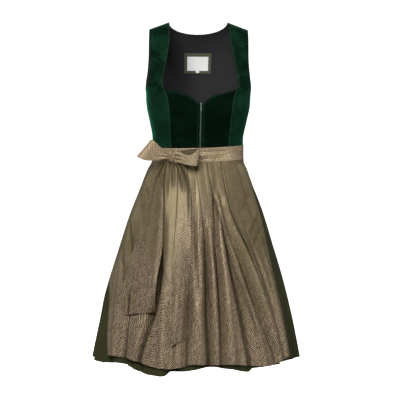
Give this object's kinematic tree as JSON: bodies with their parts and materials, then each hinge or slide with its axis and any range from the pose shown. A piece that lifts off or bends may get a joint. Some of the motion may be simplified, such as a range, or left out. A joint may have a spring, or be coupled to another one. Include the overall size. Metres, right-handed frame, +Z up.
{
  "type": "dirndl dress",
  "caption": "Sleeveless dirndl dress: velvet bodice with a front zip, gathered midi skirt and a pleated apron tied in a side bow.",
  "frame": {"origin": "middle of the line on which the shoulder straps rest, on their underside", "axes": "+Z up, -Y out of the front, +X towards the wearer's left"},
  "size_m": [0.6262, 0.5171, 1.0228],
  "materials": {
    "velvet": "matt cotton velvet with a soft sheen",
    "lining": "plain matt lining",
    "skirt_cotton": "matt cotton",
    "apron_jacquard": "satin jacquard with a small woven pattern",
    "label_backing": "matt cotton",
    "label": "woven label, bare",
    "zip_tape": "woven tape",
    "zip_metal": "satin"
  },
  "bodies": {
    "dress": {"front_centre_right": "velvet", "front_centre_left": "velvet", "front_side_right": "velvet", "front_side_left": "velvet", "back_side_right": "velvet", "back_side_left": "velvet", "back_centre": "velvet", "lining_back": "lining", "label_backing": "label_backing", "label_woven": "label", "size_tab": "label", "zip_tape": "zip_tape", "zip_chain": "zip_metal", "zip_slider": "zip_metal", "skirt_front": "skirt_cotton", "skirt_back": "skirt_cotton", "apron_panel": "apron_jacquard", "apron_waistband": "apron_jacquard", "sash_wrap": "apron_jacquard", "bow_knot": "apron_jacquard", "bow_loop_right": "apron_jacquard", "bow_loop_left": "apron_jacquard", "sash_tail_right": "apron_jacquard", "sash_tail_left": "apron_jacquard"},
    "pull_tab": {"zip_pull": "zip_metal"}
  },
  "joints": [
    {"name": "pull_tab_hinge", "type": "hinge", "parent": "dress", "child": "pull_tab", "pos_m": [0, -0.1323, -0.238], "axis": [-1, 0, 0], "range_deg": [0, 150]}
  ]
}
